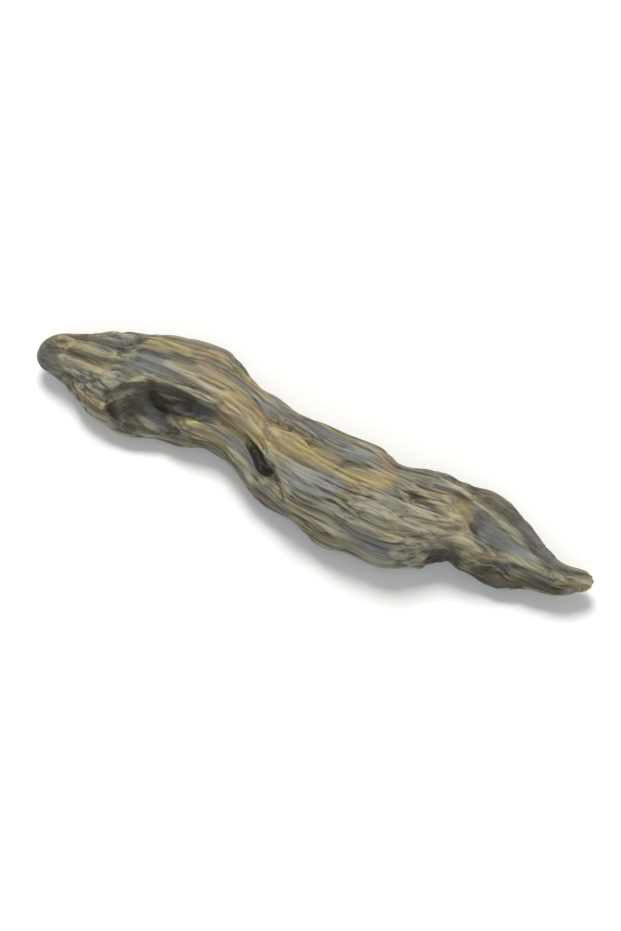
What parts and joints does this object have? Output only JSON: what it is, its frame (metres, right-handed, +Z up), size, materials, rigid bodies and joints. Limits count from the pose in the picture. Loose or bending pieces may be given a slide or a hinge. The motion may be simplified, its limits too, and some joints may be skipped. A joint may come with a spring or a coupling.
{
  "type": "agarwood piece",
  "caption": "Long, twisted chip of dark resinous agarwood with ridged grain, a gouged hollow, a folded strand and a broken notch. It lies on its split face.",
  "frame": {"origin": "a point near the middle of the flat split face that the chip rests on, 40 mm from each end along X", "axes": "+X along the chip towards its pointed end, +Y across it towards the side away from the hollow, +Z up from the face it rests on"},
  "size_m": [0.08, 0.0191, 0.0114],
  "materials": {
    "resin_wood": "semi-matt, carved with a gouge, dark resin with thin pale streaks along the grain"
  },
  "bodies": {
    "root": {"agarwood_piece": "resin_wood"}
  },
  "joints": []
}
